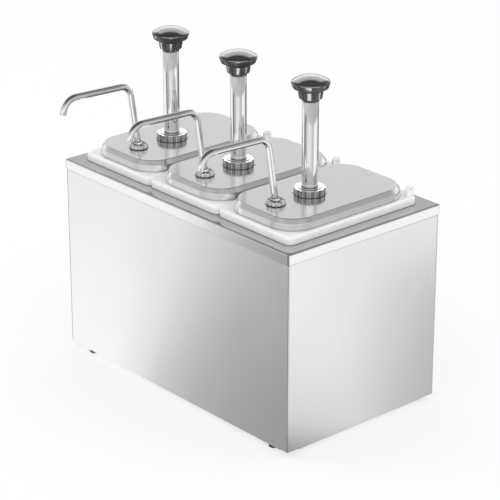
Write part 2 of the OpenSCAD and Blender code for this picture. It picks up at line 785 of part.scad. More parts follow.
module return_spring(side) {
    steps = spring_turns * rings_per_turn;
    points = [for (k = [0:steps], j = [0:wire_sides - 1])
        let (turn = k / rings_per_turn,
             r = spring_d / 2 + wire_d / 2 * cos(j * 360 / wire_sides))
        [r * cos(turn * 360), r * sin(turn * 360),
         spring_rise(turn) + wire_d / 2 + wire_d / 2 * sin(j * 360 / wire_sides)]];
    sides = [for (k = [0:steps - 1], j = [0:wire_sides - 1])
        let (a = k * wire_sides + j, b = k * wire_sides + (j + 1) % wire_sides)
        each [[a, a + wire_sides, b + wire_sides], [a, b + wire_sides, b]]];
    first = [for (j = [0:wire_sides - 1]) j];
    last = [for (j = [0:wire_sides - 1]) (steps + 1) * wire_sides - 1 - j];
    color("silver") pump_axis(side, spring_z0) polyhedron(points, concat(sides, [first, last]));
}

top_rail();
front_panel();
rear_panel();
left_end_panel();
right_end_panel();
bottom_pan();
feet();
foot_screws();
foot_nuts();
jar(LEFT);  // jar_left
jar(MIDDLE);  // jar_middle
jar(RIGHT);  // jar_right
jar_ear(LEFT);  // jar_ear_left
jar_ear(MIDDLE);  // jar_ear_middle
jar_ear(RIGHT);  // jar_ear_right
lid(LEFT);  // lid_left
lid(MIDDLE);  // lid_middle
lid(RIGHT);  // lid_right
lock_collar(LEFT);  // lock_collar_left
lock_collar(MIDDLE);  // lock_collar_middle
lock_collar(RIGHT);  // lock_collar_right
pump_seals(LEFT);  // pump_seals_left
pump_seals(MIDDLE);  // pump_seals_middle
pump_seals(RIGHT);  // pump_seals_right
pump_cylinder(LEFT);  // pump_cylinder_left
pump_cylinder(MIDDLE);  // pump_cylinder_middle
pump_cylinder(RIGHT);  // pump_cylinder_right
valve_body(LEFT);  // valve_body_left
valve_body(MIDDLE);  // valve_body_middle
valve_body(RIGHT);  // valve_body_right
inlet_ball(LEFT);  // inlet_ball_left
inlet_ball(MIDDLE);  // inlet_ball_middle
inlet_ball(RIGHT);  // inlet_ball_right
outlet_ball(LEFT);  // outlet_ball_left
outlet_ball(MIDDLE);  // outlet_ball_middle
outlet_ball(RIGHT);  // outlet_ball_right
discharge_tube(LEFT);  // discharge_tube_left
discharge_tube(MIDDLE);  // discharge_tube_middle
discharge_tube(RIGHT);  // discharge_tube_right
tube_bush(LEFT);  // tube_bush_left
tube_bush(MIDDLE);  // tube_bush_middle
tube_bush(RIGHT);  // tube_bush_right
tube_nut(LEFT);  // tube_nut_left
tube_nut(MIDDLE);  // tube_nut_middle
tube_nut(RIGHT);  // tube_nut_right
knob(LEFT);  // knob_left
knob(MIDDLE);  // knob_middle
knob(RIGHT);  // knob_right
plunger_tube(LEFT);  // plunger_tube_left
plunger_tube(MIDDLE);  // plunger_tube_middle
plunger_tube(RIGHT);  // plunger_tube_right
piston(LEFT);  // piston_left
piston(MIDDLE);  // piston_middle
piston(RIGHT);  // piston_right
piston_seal(LEFT);  // piston_seal_left
piston_seal(MIDDLE);  // piston_seal_middle
piston_seal(RIGHT);  // piston_seal_right
return_spring(LEFT);  // return_spring_left
return_spring(MIDDLE);  // return_spring_middle
return_spring(RIGHT);  // return_spring_right
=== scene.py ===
import bmesh
import bpy
import numpy as np
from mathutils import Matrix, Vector


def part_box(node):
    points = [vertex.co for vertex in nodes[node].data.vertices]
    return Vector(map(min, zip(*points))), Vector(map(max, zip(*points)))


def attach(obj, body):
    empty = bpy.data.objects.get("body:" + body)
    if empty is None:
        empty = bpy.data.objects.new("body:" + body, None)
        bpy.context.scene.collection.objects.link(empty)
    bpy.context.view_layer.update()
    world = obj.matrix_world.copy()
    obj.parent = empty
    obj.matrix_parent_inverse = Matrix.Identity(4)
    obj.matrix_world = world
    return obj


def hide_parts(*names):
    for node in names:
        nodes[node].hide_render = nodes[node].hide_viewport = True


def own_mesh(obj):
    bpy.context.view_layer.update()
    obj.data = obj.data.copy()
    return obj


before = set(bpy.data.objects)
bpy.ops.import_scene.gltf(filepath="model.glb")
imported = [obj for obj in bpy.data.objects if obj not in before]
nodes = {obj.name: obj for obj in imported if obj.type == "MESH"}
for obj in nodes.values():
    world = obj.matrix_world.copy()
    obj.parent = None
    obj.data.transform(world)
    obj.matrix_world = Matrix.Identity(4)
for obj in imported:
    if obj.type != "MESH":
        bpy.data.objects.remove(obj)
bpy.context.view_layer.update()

# Cabinet walls: four pieces of 1.2 mm stainless sheet, ground in one direction to a satin
# finish. Each is folded on a press brake, and the flanges at the edges are spot welded, so
# nothing shows outside but the bare sheet.

PANEL_TONE = 0.9
PANEL_GLOSS = 0.31
PANEL_GRAIN = (900.0, 900.0, 14.0)
PANEL_EDGE = 0.0014
PANEL_JOINT_SHADE = 0.0009
NOISE_REACH = (0.3, 0.7)
PAINTED_TOP_FACING = (0.5, 0.95)
JOINT_SHADE_FACING = (0.6, 0.9)
OPEN_REACH = (0.45, 0.95)
SEAM_SHADE_REACH = 0.003
SEAM_SHADE_TONE = 0.2
JOINT_SHADE_TONE = 0.25
JOINT_FADE = 0.0002
RELIEF = 0.0002


def add(tree, kind, inputs=None, **settings):
    """Adds a shader node; inputs are values or the outputs that feed them."""
    made = tree.nodes.new("ShaderNode" + kind)
    for name, value in settings.items():
        setattr(made, name, value)
    for key, value in (inputs or {}).items():
        if isinstance(value, bpy.types.NodeSocket):
            tree.links.new(value, made.inputs[key])
        else:
            made.inputs[key].default_value = value
    return made


def remap(tree, source, low, high, to_low=0.0, to_high=1.0, **settings):
    """Carries a value from one range over to another and holds it at their ends."""
    return add(tree, "MapRange", {"Value": source, "From Min": low, "From Max": high,
                                  "To Min": to_low, "To Max": to_high},
               **settings).outputs["Result"]


def reckon(tree, operation, *sources):
    """One step of arithmetic on values or outputs."""
    return add(tree, "Math", dict(enumerate(sources)), operation=operation).outputs[0]


def noise(tree, place, scale, detail):
    """Even noise from 0 to 1, with about as many patches to the metre as the scale."""
    inputs = {"Vector": place, "Scale": scale, "Detail": detail}
    return add(tree, "TexNoise", inputs).outputs["Fac"]


def scaled(tree, colour, share):
    """A colour times a share, which may be more than one."""
    inputs = {0: colour, "Scale": share}
    return add(tree, "VectorMath", inputs, operation="SCALE").outputs["Vector"]


def greys(tree, source, stops):
    """A ramp of greys through pairs of place and tone."""
    ramp = add(tree, "ValToRGB", {"Fac": source})
    band = ramp.color_ramp
    while len(band.elements) < len(stops):
        band.elements.new(0.5)
    for element, (place, tone) in zip(band.elements, stops):
        element.position = place
        element.color = (tone, tone, tone, 1)
    return ramp.outputs["Color"]


def new_finish(name, sockets):
    """A material with one Principled shader whose even values are set on its own sockets."""
    finish = bpy.data.materials.new(name)
    finish.use_nodes = True
    shader = finish.node_tree.nodes["Principled BSDF"]
    for key, value in sockets.items():
        shader.inputs[key].default_value = value
    return finish, finish.node_tree, shader


def spread(tree, source, low, high):
    """Carries a noise's usual reach over to the range from low to high."""
    return remap(tree, source, *NOISE_REACH, low, high)


def grey(tree, source, low, high):
    """Carries a noise's usual reach over to a grey between two tones."""
    return greys(tree, source, list(zip(NOISE_REACH, (low, high))))


def painted_seam_shade(tree, colour, reach=SEAM_SHADE_REACH):
    """Paints shade into a colour in seams and corners, where within reach little of the room is
    open.
    """
    open_share = add(tree, "AmbientOcclusion", {"Distance": reach}, samples=8).outputs["AO"]
    shade = greys(tree, open_share, list(zip(OPEN_REACH, (SEAM_SHADE_TONE, 1.0))))
    return add(tree, "Mix", {0: 1.0, "A": colour, "B": shade}, data_type="RGBA",
               blend_type="MULTIPLY").outputs["Result"]


def ground_steel(name, tone, gloss, grain, depth, painted_top_share=1.0, edge=0.0005, joint_shade=None):
    """Ground sheet: a noise drawn out along the grain sets the scratches' depth and gloss,
    and a broad, faint cloud sets the sheet's own unevenness. Faces that look up get their
    colour times the top share, a painted shade on the top, and edges look rounded to a
    radius of edge. The joint pair holds the half width at which faces to the front and rear
    end, and the breadth of a strip of painted shade for the open joint there. Seams and
    corners get painted shade as well."""
    finish, tree, shader = new_finish(name, {"Metallic": 1.0})
    place = add(tree, "TexCoord").outputs["Object"]
    drawn = add(tree, "Mapping", {"Vector": place, "Scale": grain}).outputs["Vector"]
    scratches = noise(tree, drawn, scale=1.0, detail=5.0)
    cloud = noise(tree, place, scale=11.0, detail=3.0)
    uneven = reckon(tree, "MULTIPLY_ADD", scratches, cloud, 0.25)
    # Painted shade: the colour is darkened in seams and corners.
    colour = painted_seam_shade(tree, grey(tree, scratches, tone * 0.985, tone * 1.01))
    facing = add(tree, "SeparateXYZ", {0: add(tree, "TexCoord").outputs["Normal"]})
    # Painted shade: faces that look up get the top share of the colour.
    share = remap(tree, facing.outputs["Z"], *PAINTED_TOP_FACING, 1.0, painted_top_share)
    # Painted shade: front and rear faces darken in a strip at the open joint.
    if joint_shade:
        half_width, breadth = joint_shade
        inner = half_width - breadth
        across = reckon(tree, "ABSOLUTE", add(tree, "SeparateXYZ", {0: place}).outputs["X"])
        near = remap(tree, across, inner - JOINT_FADE, inner)
        frontal = reckon(tree, "MULTIPLY", reckon(tree, "ABSOLUTE", facing.outputs["Y"]), near)
        shade = remap(tree, frontal, *JOINT_SHADE_FACING, 1.0, JOINT_SHADE_TONE)
        share = reckon(tree, "MULTIPLY", share, shade)
    links = tree.links
    links.new(scaled(tree, colour, share), shader.inputs["Base Color"])
    links.new(spread(tree, uneven, gloss * 0.85, gloss * 1.15), shader.inputs["Roughness"])
    rounded = add(tree, "Bevel", {"Radius": edge}, samples=6).outputs["Normal"]
    bump = add(tree, "Bump", {"Height": scratches, "Strength": depth, "Distance": RELIEF,
                              "Normal": rounded})
    links.new(bump.outputs["Normal"], shader.inputs["Normal"])
    return finish


def dress(finish, *names):
    """Gives a finish to CAD nodes whose solids have the real piece's shape."""
    for name in names:
        piece = nodes[name]
        if not piece.material_slots:
            piece.data.materials.append(finish)
        for slot in piece.material_slots:
            slot.material = finish


panel_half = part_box("right_end_panel")[1][0]
# The panels' corners get a strip of painted shade at the open joint.
panel_steel = ground_steel("panel_steel", PANEL_TONE, PANEL_GLOSS, PANEL_GRAIN, depth=0.03,
                           edge=PANEL_EDGE, joint_shade=(panel_half, PANEL_JOINT_SHADE))
dress(panel_steel, "front_panel", "rear_panel", "left_end_panel", "right_end_panel")

# Bottom pan: a shallow tray of the same sheet, left as it comes from the mill, which lies on
# the walls' bottom flanges and is held by the four foot screws.

mill_steel = ground_steel("mill_steel", tone=0.62, gloss=0.42, grain=(60.0, 900.0, 60.0),
                          depth=0.08)
dress(mill_steel, "bottom_pan")

# Feet, foot screws and nuts: moulded black rubber buttons with a recess for a cheese-head
# screw, which passes the wall's flange and the pan and ends in a hexagon nut.


def moulded(name, colour, gloss, speckle, depth, **sockets):
    """A moulded surface: fine noise as the mould's texture and a slower one in its gloss."""
    finish, tree, shader = new_finish(name, dict(sockets, Metallic=0.0))
    place = add(tree, "TexCoord").outputs["Object"]
    fine = noise(tree, place, scale=speckle, detail=3.0)
    slow = noise(tree, place, scale=25.0, detail=2.0)
    ramp = add(tree, "ValToRGB", {"Fac": slow})
    ramp.color_ramp.elements[0].color = (*[c * 0.97 for c in colour], 1)
    ramp.color_ramp.elements[1].color = (*[min(c * 1.02, 1.0) for c in colour], 1)
    tree.links.new(ramp.outputs["Color"], shader.inputs["Base Color"])
    tree.links.new(spread(tree, slow, gloss * 0.9, gloss * 1.12), shader.inputs["Roughness"])
    bump = add(tree, "Bump", {"Height": fine, "Strength": depth, "Distance": RELIEF})
    tree.links.new(bump.outputs["Normal"], shader.inputs["Normal"])
    return finish


rubber = moulded("foot_rubber", colour=(0.018, 0.018, 0.018), gloss=0.6, speckle=1500.0,
                 depth=0.3)
dress(rubber, "feet")
plated = ground_steel("plated_steel", tone=0.6, gloss=0.3, grain=(700.0, 700.0, 90.0),
                      depth=0.1)
dress(plated, "foot_screws", "foot_nuts")

# Top rail: the cabinet's cover, folded from brighter, finely polished sheet with a skirt all
# round, open mitred corners and three punched openings. It is spot welded to the walls.

RAIL_JOINT_SHADE = 0.002
rail_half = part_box("top_rail")[1][0]
# The rail's top faces get 0.67 of the colour as painted shade, and its corners a strip of painted
# shade at the open joint.
rail_steel = ground_steel("rail_steel", tone=0.88, gloss=0.14, grain=(40.0, 1100.0, 1100.0),
                          depth=0.02, painted_top_share=0.67, joint_shade=(rail_half, RAIL_JOINT_SHADE))
dress(rail_steel, "top_rail")

# Jars: milky white plastic fountain jars, one moulding each, with a rim like an inverted
# channel that rests on the rail, a raised mouth and a low ridge at the rear.

SIDES = ("left", "middle", "right")
MILK_WHITE = (0.95, 0.95, 0.94)
JAR_FOOT_R = 0.008
JAR_WALL = 0.003
JAR_TAPER = 0.004
MOUTH_HALF = (0.056, 0.0933)
MOUTH_R = 0.031
RIM_HALF = (0.0622, 0.1005)
RIM_R = 0.008
RIM_H = 0.010
RIM_SKIN = 0.003
LIP_H = 0.005
CORNER_STEPS = 7
CORNER_POINTS = 14
MERGE_WITHIN = 2e-6
CREASE = 32


def eased(corners, steps=CORNER_STEPS):
    """A profile through corners, each row the sizes at a corner with its fillet radius last.
    The first size is the way across and the last the height. A corner becomes a parabola
    that leaves one leg and meets the next where a fillet of that radius would."""
    corners = np.asarray(corners, float)
    sizes, fillet = corners[:, :-1], corners[:, -1]
    back, on = np.roll(sizes, 1, axis=0) - sizes, np.roll(sizes, -1, axis=0) - sizes
    long_back = np.maximum(np.hypot(back[:, 0], back[:, -1]), 1e-9)
    long_on = np.maximum(np.hypot(on[:, 0], on[:, -1]), 1e-9)
    cosine = (back[:, 0] * on[:, 0] + back[:, -1] * on[:, -1]) / (long_back * long_on)
    half = np.maximum(np.arccos(np.clip(cosine, -1, 1)) / 2, 1e-3)
    reach = fillet / np.tan(half)
    start = sizes + back * (reach / long_back)[:, None]
    end = sizes + on * (reach / long_on)[:, None]
    t = np.linspace(0, 1, steps)[None, :, None]
    curve = ((1 - t) ** 2 * start[:, None] + 2 * t * (1 - t) * sizes[:, None]
             + t ** 2 * end[:, None])
    return curve.reshape(-1, sizes.shape[1])


def corner_rows(rows, centre):
    """Rows of rectangles with round corners, each row a half width, half depth, corner radius
    and height: a point lies on a quarter circle about its corner's centre."""
    half_w, half_d, radius, height = (rows[:, k:k + 1] for k in range(4))
    quarter = np.linspace(0, np.pi / 2, CORNER_POINTS)
    turn = (np.arange(4)[:, None] * np.pi / 2 + quarter).ravel()
    right = np.repeat([1, -1, -1, 1], CORNER_POINTS)
    rear = np.repeat([1, 1, -1, -1], CORNER_POINTS)
    x = centre[0] + right * (half_w - radius) + radius * np.cos(turn)
    y = centre[1] + rear * (half_d - radius) + radius * np.sin(turn)
    return np.stack([x, y, height + 0 * turn], axis=-1)


def skin(name, grid, finish, closed=False):
    """A mesh from a grid of points: rows run along the profile and columns counterclockwise
    round the piece. The last column joins the first, and closed joins the last row to the
    first. Rows that meet in one point become a pole."""
    rows, columns = grid.shape[:2]
    index = np.arange(rows * columns).reshape(rows, columns)
    index = np.concatenate([index, index[:, :1]], axis=1)
    if closed:
        index = np.concatenate([index, index[:1]])
    quads = np.stack([index[:-1, :-1], index[:-1, 1:], index[1:, 1:], index[1:, :-1]], axis=-1)
    mesh = bpy.data.meshes.new(name)
    mesh.from_pydata(grid.reshape(-1, 3), [], quads.reshape(-1, 4))
    work = bmesh.new()
    work.from_mesh(mesh)
    bmesh.ops.remove_doubles(work, verts=work.verts, dist=MERGE_WITHIN)
    work.to_mesh(mesh)
    work.free()
    mesh.shade_smooth()
    mesh.set_sharp_from_angle(angle=np.radians(CREASE))
    mesh.materials.append(finish)
    piece = bpy.data.objects.new(name, mesh)
    bpy.context.scene.collection.objects.link(piece)
    return piece


def middle_of(node):
    """The middle of a CAD node's box."""
    low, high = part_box(node)
    return [(a + b) / 2 for a, b in zip(low, high)]


def body_row(out, height, fillet=0.0):
    """A row of the jar's tapered body, out from the centres of its mouth's corners."""
    return [MOUTH_HALF[0] - MOUTH_R + out, MOUTH_HALF[1] - MOUTH_R + out, out, height, fillet]


def rim_row(inset, height, fillet=0.0):
    """A row of the jar's rim, at an inset from its outer edge."""
    return [RIM_HALF[0] - inset, RIM_HALF[1] - inset, RIM_R - inset, height, fillet]


milky = moulded("milky_plastic", MILK_WHITE, gloss=0.4, speckle=700.0, depth=0.05,
                **{"Subsurface Weight": 0.3, "Subsurface Scale": 0.003,
                   "Subsurface Radius": (1.0, 1.0, 1.0)})
ear_white = moulded("ear_plastic", MILK_WHITE, gloss=0.4, speckle=700.0, depth=0.05)
rail_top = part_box("top_rail")[1][2]
rim_top = rail_top + RIM_H
under = rim_top - RIM_SKIN
mouth_top = rim_top + LIP_H
low_out = MOUTH_R - JAR_TAPER
for side in SIDES:
    jar_centre = middle_of(f"jar_{side}")
    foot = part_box(f"jar_{side}")[0][2]
    outline = eased([
        [0, 0, 0, foot, 0],
        body_row(low_out, foot, JAR_FOOT_R),
        body_row(MOUTH_R, rail_top - 0.0001),
        body_row(MOUTH_R, under, 0.001),
        rim_row(RIM_SKIN, under, 0.0008),
        rim_row(RIM_SKIN, rail_top),
        rim_row(0.0, rail_top, 0.0006),
        rim_row(0.0, rim_top, 0.003),
        body_row(MOUTH_R, rim_top, 0.0012),
        body_row(MOUTH_R, mouth_top, 0.0012),
        body_row(MOUTH_R - JAR_WALL, mouth_top, 0.0012),
        body_row(MOUTH_R - JAR_WALL, rail_top),
        body_row(low_out - JAR_WALL, foot + JAR_WALL, JAR_FOOT_R - JAR_WALL),
        [0, 0, 0, foot + JAR_WALL, 0]])
    jar = skin(f"jar_shell_{side}", corner_rows(outline, jar_centre), milky)
    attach(jar, f"jar_{side}")
    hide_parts(f"jar_{side}")
    dress(ear_white, f"jar_ear_{side}")

# Pump cylinder, valve body, balls and seals: inside each jar hangs a drawn steel cylinder
# with a turned white acetal valve body under it, two ground check balls, and black rubber
# seals under the lid and round the tube.

drawn_steel = ground_steel("drawn_steel", tone=0.8, gloss=0.14, grain=(900.0, 900.0, 20.0),
                           depth=0.04)
ball_steel = ground_steel("ball_steel", tone=0.82, gloss=0.06, grain=(300.0, 300.0, 300.0),
                          depth=0.01)
acetal = moulded("white_acetal", colour=(0.86, 0.86, 0.84), gloss=0.38, speckle=900.0,
                 depth=0.06)
for side in SIDES:
    dress(drawn_steel, f"pump_cylinder_{side}")
    dress(ball_steel, f"inlet_ball_{side}", f"outlet_ball_{side}")
    dress(acetal, f"valve_body_{side}", f"tube_bush_{side}")
    dress(rubber, f"pump_seals_{side}")

# Lids: pressed from steel sheet with a bevelled shoulder and a wall that leans in a little,
# ground along their length to a satin finish.

lid_steel = ground_steel("lid_steel", tone=0.88, gloss=0.16, grain=(1000.0, 60.0, 1000.0),
                         depth=0.03, edge=0.001)
dress(lid_steel, *[f"lid_{side}" for side in SIDES])

# Lock collars: turned and polished steel ring nuts with twelve scallops for the hand. Each
# is screwed on the cylinder's neck and clamps the lid.

COLLAR_R = 0.0185
COLLAR_H = 0.009
COLLAR_STEP_R = 0.0135
COLLAR_STEP_H = 0.0008
COLLAR_BORE_R = 0.0146
COLLAR_EYE_R = 0.00976
COLLAR_INSIDE_H = 0.0066
COLLAR_FLUTES = 12
COLLAR_FLUTE_R = 0.0034
COLLAR_FLUTE_DEPTH = 0.0012
POINTS_PER_FLUTE = 16
EDGE_POINTS = (0.5, 0.56)
EDGE_HIGHLIGHT = 3.0
TOP_HIGHLIGHT = 3.4
SHORT_SEAM_SHADE_REACH = 0.001


def turned(profile, centre, sides=96, flutes=0, flute_r=0.0, flute_axis=1.0):
    """A turned piece: each row of across and up goes round the axis. With flutes, a radius
    is cut back to the near side of the nearest flute's circle, whose centre lies flute_axis
    from the axis: C cos a less the root of r squared less C squared sin squared a."""
    turn = np.linspace(0, 2 * np.pi, sides, endpoint=False)
    radius = profile[:, :1] + 0 * turn
    if flutes:
        step = 2 * np.pi / flutes
        off = (turn + step / 2) % step - step / 2
        inside = flute_r ** 2 - (flute_axis * np.sin(off)) ** 2
        near = np.where(inside > 0, flute_axis * np.cos(off) - np.sqrt(np.maximum(inside, 0)), 1.0)
        radius = np.minimum(radius, near)
    return np.stack([centre[0] + radius * np.cos(turn), centre[1] + radius * np.sin(turn),
                     profile[:, 1:2] + 0 * turn], axis=-1)


def polished(name, tone, gloss, painted_top_and_edges=False):
    """Buffed steel: nearly a mirror, with faint buffing marks in its gloss and surface. With
    the flag set, painted highlights make the top and the outer edges bright, and the rest
    keeps a dark tone that stands for painted shade. Seams get painted shade."""
    finish, tree, shader = new_finish(name, {"Metallic": 1.0})
    place = add(tree, "TexCoord").outputs["Object"]
    marks = noise(tree, place, scale=160.0, detail=4.0)
    colour = grey(tree, marks, tone * 0.97, tone)
    # Painted highlights brighten the top and the outer edges.
    if painted_top_and_edges:
        pointiness = add(tree, "NewGeometry").outputs["Pointiness"]
        edges = remap(tree, pointiness, *EDGE_POINTS, 1.0, EDGE_HIGHLIGHT)
        facing = add(tree, "SeparateXYZ", {0: add(tree, "TexCoord").outputs["Normal"]})
        top = remap(tree, facing.outputs["Z"], *PAINTED_TOP_FACING, 1.0, TOP_HIGHLIGHT)
        colour = scaled(tree, colour, reckon(tree, "MAXIMUM", top, edges))
    # Painted shade darkens the colour in seams and corners.
    colour = painted_seam_shade(tree, colour, SHORT_SEAM_SHADE_REACH if painted_top_and_edges else SEAM_SHADE_REACH)
    tree.links.new(colour, shader.inputs["Base Color"])
    tree.links.new(spread(tree, marks, gloss * 0.7, gloss * 1.3), shader.inputs["Roughness"])
    bump = add(tree, "Bump", {"Height": marks, "Strength": 0.02, "Distance": RELIEF})
    tree.links.new(bump.outputs["Normal"], shader.inputs["Normal"])
    return finish


bright_steel = polished("bright_steel", tone=0.9, gloss=0.06)
# The collars' dark tone is painted shade, with painted highlights on the top and the outer edges.
collar_steel = polished("collar_steel", tone=0.28, gloss=0.1, painted_top_and_edges=True)
lit_collars = bpy.data.collections.new("lit_collars")
lid_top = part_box("lid_middle")[1][2]
pump_axes = {side: middle_of(f"plunger_tube_{side}") for side in SIDES}
shoulder = COLLAR_H - COLLAR_STEP_H
collar_outline = eased([
    [COLLAR_BORE_R, 0, 0], [COLLAR_R, 0, 0.0007], [COLLAR_R, shoulder, 0.0007],
    [COLLAR_STEP_R, shoulder, 0.0003], [COLLAR_STEP_R, COLLAR_H, 0.0003],
    [COLLAR_EYE_R, COLLAR_H, 0.0003], [COLLAR_EYE_R, COLLAR_INSIDE_H, 0],
    [COLLAR_BORE_R, COLLAR_INSIDE_H, 0.0005]])
collar_outline[:, 1] += lid_top
flute_axis = COLLAR_R + COLLAR_FLUTE_R - COLLAR_FLUTE_DEPTH
for side, pump_axis in pump_axes.items():
    grid = turned(collar_outline, pump_axis, POINTS_PER_FLUTE * COLLAR_FLUTES, COLLAR_FLUTES,
                  COLLAR_FLUTE_R, flute_axis)
    collar = skin(f"collar_ring_{side}", grid, collar_steel, closed=True)
    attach(collar, f"pump_{side}")
    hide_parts(f"lock_collar_{side}")
    lit_collars.objects.link(collar)

# Discharge tubes: 8 mm polished steel tube, bent twice on a mandrel. Each rises from the
# valve body's arm through the bush and nut in the lid, and ends in a drooping tip in front.

TUBE_R = 0.004
TUBE_BORE_R = 0.0032
TUBE_SIDES = 40
TIP_STEPS = 9
BEND_STEPS = 22


def bent_tube(path, across):
    """A round wall carried along a path in one upright plane: the outer wall runs nearly to
    the tip, turns over the tip's half-round edge and comes back as the bore."""
    along = np.gradient(path, axis=0)
    along /= np.linalg.norm(along, axis=1)[:, None]
    last = len(path) - 1
    half = (TUBE_R - TUBE_BORE_R) / 2
    edge = np.linspace(0, np.pi, TIP_STEPS)
    radius = np.concatenate([np.full(last, TUBE_R), TUBE_BORE_R + half + half * np.cos(edge),
                             np.full(last, TUBE_BORE_R)])
    over = path[-1] + half * (np.sin(edge) - 1)[:, None] * along[-1]
    centre = np.concatenate([path[:last], over, path[:last][::-1]])
    upward = np.cross(across, along)
    upward = np.concatenate([upward[:last], np.repeat(upward[-1:], TIP_STEPS, axis=0),
                             upward[:last][::-1]])
    turn = np.linspace(0, 2 * np.pi, TUBE_SIDES, endpoint=False)[None, :, None]
    return (centre[:, None] + radius[:, None, None]
            * (np.cos(turn) * across + np.sin(turn) * upward[:, None]))


def arc_points(centre, radius, start, stop, count):
    """Points on a circle in the upright plane, forward and up, angles in degrees."""
    angle = np.radians(np.linspace(start, stop, count))
    return np.stack([centre[0] + radius * np.cos(angle),
                     centre[1] + radius * np.sin(angle)], axis=1)


LEAN = 8.8
RISE = 2.0
DROOP = 80.0
BEND_R = 0.015
TIP_BEND_R = 0.0185
NUT_FORWARD = 0.0521
LEG_TOP = 0.082
RUN = 0.0952
TIP = 0.00292
tube_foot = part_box("discharge_tube_middle")[0][2] - lid_top
leg_way = np.array([np.sin(np.radians(LEAN)), np.cos(np.radians(LEAN))])
run_way = np.array([np.cos(np.radians(RISE)), np.sin(np.radians(RISE))])
tip_way = np.array([np.cos(np.radians(DROOP)), -np.sin(np.radians(DROOP))])
first_corner = np.array([NUT_FORWARD + LEG_TOP * np.tan(np.radians(LEAN)), LEG_TOP])
second_corner = first_corner + RUN * run_way
back_1 = BEND_R * np.tan(np.radians(90 - LEAN - RISE) / 2)
back_2 = TIP_BEND_R * np.tan(np.radians(RISE + DROOP) / 2)
centre_1 = first_corner - back_1 * leg_way + BEND_R * np.array([leg_way[1], -leg_way[0]])
centre_2 = second_corner - back_2 * run_way + TIP_BEND_R * np.array([run_way[1], -run_way[0]])
foot_rise = tube_foot + TUBE_R * leg_way[0]
foot_point = np.array([NUT_FORWARD + foot_rise * leg_way[0] / leg_way[1], foot_rise])
flat_path = np.concatenate([
    np.linspace(foot_point, first_corner - back_1 * leg_way, 12)[:-1],
    arc_points(centre_1, BEND_R, 180 - LEAN, 90 + RISE, BEND_STEPS),
    np.linspace(first_corner + back_1 * run_way, second_corner - back_2 * run_way, 8)[1:-1],
    arc_points(centre_2, TIP_BEND_R, 90 + RISE, 90 - DROOP, BEND_STEPS),
    np.linspace(second_corner + back_2 * tip_way, second_corner + (back_2 + TIP) * tip_way,
                3)[1:]])
for side, pump_axis in pump_axes.items():
    path = np.stack([np.full(len(flat_path), pump_axis[0]), pump_axis[1] - flat_path[:, 0],
                     lid_top + flat_path[:, 1]], axis=1)
    grid = bent_tube(path, np.array([1.0, 0, 0]))
    tube = skin(f"spout_tube_{side}", grid, bright_steel, closed=True)
    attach(tube, f"pump_{side}")
    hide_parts(f"discharge_tube_{side}")

# Tube nuts: small scalloped nuts with a cone that grips the leaning tube, buffed bright like
# the tubes and screwed on the bushes.

dress(bright_steel, *[f"tube_nut_{side}" for side in SIDES])

# Knobs: turned from black plastic and polished, with a mushroom head over a flared bell,
# pressed on the plunger tube.

KNOB_BOSS_R = 0.01005
KNOB_BOSS_H = 0.0034
KNOB_SOCKET_R = 0.00976
KNOB_SOCKET_H = 0.014
BELL_R = 0.0134
BELL_TOP_R = 0.0146
BELL_TOP = 0.012
BRIM_Z = 0.0156
BRIM_T = 0.007
BRIM_LIP = 0.0022
KNOB_R = 0.02275
KNOB_H = 0.0297
RIM_FILLET = 0.002
RIM_END = 4
DOME_STEPS = 28
FLARE_STEPS = 9
KNOB_SIDES = 128
brim_top = BRIM_Z + BRIM_T
dome_h = KNOB_H - brim_top
dome_r = (KNOB_R ** 2 + dome_h ** 2) / (2 * dome_h)
dome = np.linspace(np.arcsin(KNOB_R / dome_r), 0, DOME_STEPS)
flare = np.linspace(0, np.pi / 2, FLARE_STEPS)
flare_part = np.stack([BELL_TOP_R + (KNOB_R - BRIM_LIP - BELL_TOP_R) * (1 - np.cos(flare)),
                       BELL_TOP + (BRIM_Z - BELL_TOP) * np.sin(flare)], axis=1)
dome_part = np.stack([dome_r * np.sin(dome), KNOB_H - dome_r + dome_r * np.cos(dome)], axis=1)
knob_profile = np.concatenate([
    eased([[0, KNOB_SOCKET_H, 0], [KNOB_SOCKET_R, KNOB_SOCKET_H, 0.0004], [KNOB_SOCKET_R, 0, 0],
           [KNOB_BOSS_R, 0, 0], [KNOB_BOSS_R, KNOB_BOSS_H, 0.0002], [BELL_R, KNOB_BOSS_H, 0.0007],
           [*flare_part[0], 0]]),
    flare_part[1:-2],
    eased([[*flare_part[-2], 0], [KNOB_R - BRIM_LIP, BRIM_Z, 0.0005],
           [KNOB_R, brim_top, RIM_FILLET], [*dome_part[RIM_END], 0]])[:-CORNER_STEPS],
    dome_part[RIM_END:]])
black = moulded("black_plastic", colour=(0.016, 0.016, 0.0165), gloss=0.12, speckle=900.0,
                depth=0.01, IOR=1.7)
lit_knobs = bpy.data.collections.new("lit_knobs")
for side, pump_axis in pump_axes.items():
    knob_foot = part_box(f"knob_{side}")[0][2]
    grid = turned(knob_profile + [0, knob_foot], pump_axis, KNOB_SIDES)
    knob = skin(f"push_knob_{side}", grid, black)
    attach(knob, f"plunger_{side}")
    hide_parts(f"knob_{side}")
    lit_knobs.objects.link(knob)

# Plunger tubes, pistons and piston seals: a polished steel tube carries the hand's push to
# an acetal piston with a rubber lip seal.

